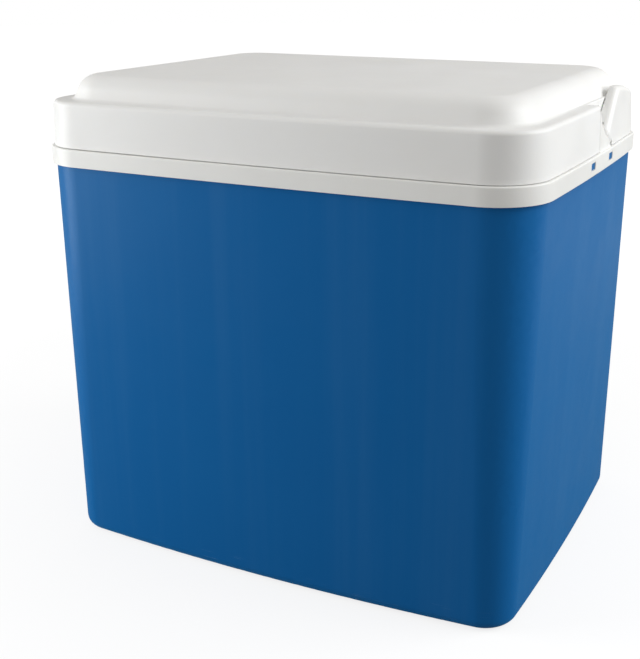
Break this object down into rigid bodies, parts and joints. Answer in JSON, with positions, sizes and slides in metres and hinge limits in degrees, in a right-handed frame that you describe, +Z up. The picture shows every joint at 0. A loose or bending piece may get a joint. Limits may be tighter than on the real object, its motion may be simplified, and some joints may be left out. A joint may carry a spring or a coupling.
{
  "type": "passive cool box",
  "caption": "Insulated tub with a rim collar, a lift-off domed lid and a fold-back carrying handle, loaded with frozen water packs round its walls.",
  "frame": {"origin": "on the floor, under the middle of the rim collar", "axes": "+X to the box's right along its long side, +Y to the back, where the handle is folded, +Z up"},
  "size_m": [0.4002, 0.3104, 0.375],
  "materials": {
    "blue_shell": "moulded mid-blue polypropylene, satin gloss, faint flow marks",
    "white_rim": "moulded white polypropylene, satin gloss",
    "white_lid": "moulded white polypropylene, satin gloss, very fine texture",
    "white_handle": "moulded white polypropylene, satin gloss",
    "white_liner": "moulded white food-grade plastic",
    "foam": "rigid closed-cell foam, fine open cut surface",
    "soft_seal": "soft closed-cell sealing ring",
    "steel_pin": "drawn steel pin",
    "pack_blue": "translucent pale blue blow-moulded plastic, filled with frozen water",
    "plug_white": "moulded white plastic plug"
  },
  "bodies": {
    "box": {"outer_shell": "blue_shell", "body_insulation": "foam", "inner_liner": "white_liner", "rim_collar": "white_rim", "pivot_pin_left": "steel_pin", "pivot_pin_right": "steel_pin", "water_pack_front_left": "pack_blue", "water_pack_front_right": "pack_blue", "water_pack_rear_left": "pack_blue", "water_pack_rear_right": "pack_blue", "water_pack_end_left": "pack_blue", "water_pack_end_right": "pack_blue", "filler_plug_front_left": "plug_white", "filler_plug_front_right": "plug_white", "filler_plug_rear_left": "plug_white", "filler_plug_rear_right": "plug_white", "filler_plug_end_left": "plug_white", "filler_plug_end_right": "plug_white"},
    "lid": {"lid_cover": "white_lid", "lid_insulation": "foam", "lid_inner_panel": "white_liner", "lid_seal": "soft_seal"},
    "handle": {"carry_handle": "white_handle"}
  },
  "joints": [
    {"name": "lid_lift", "type": "slide", "parent": "box", "child": "lid", "axis": [0, 0, 1], "range_m": [0, 0.045]},
    {"name": "handle_swing", "type": "hinge", "parent": "box", "child": "handle", "pos_m": [0, 0.044, 0.3335], "axis": [1, 0, 0], "range_deg": [0, 90]}
  ]
}
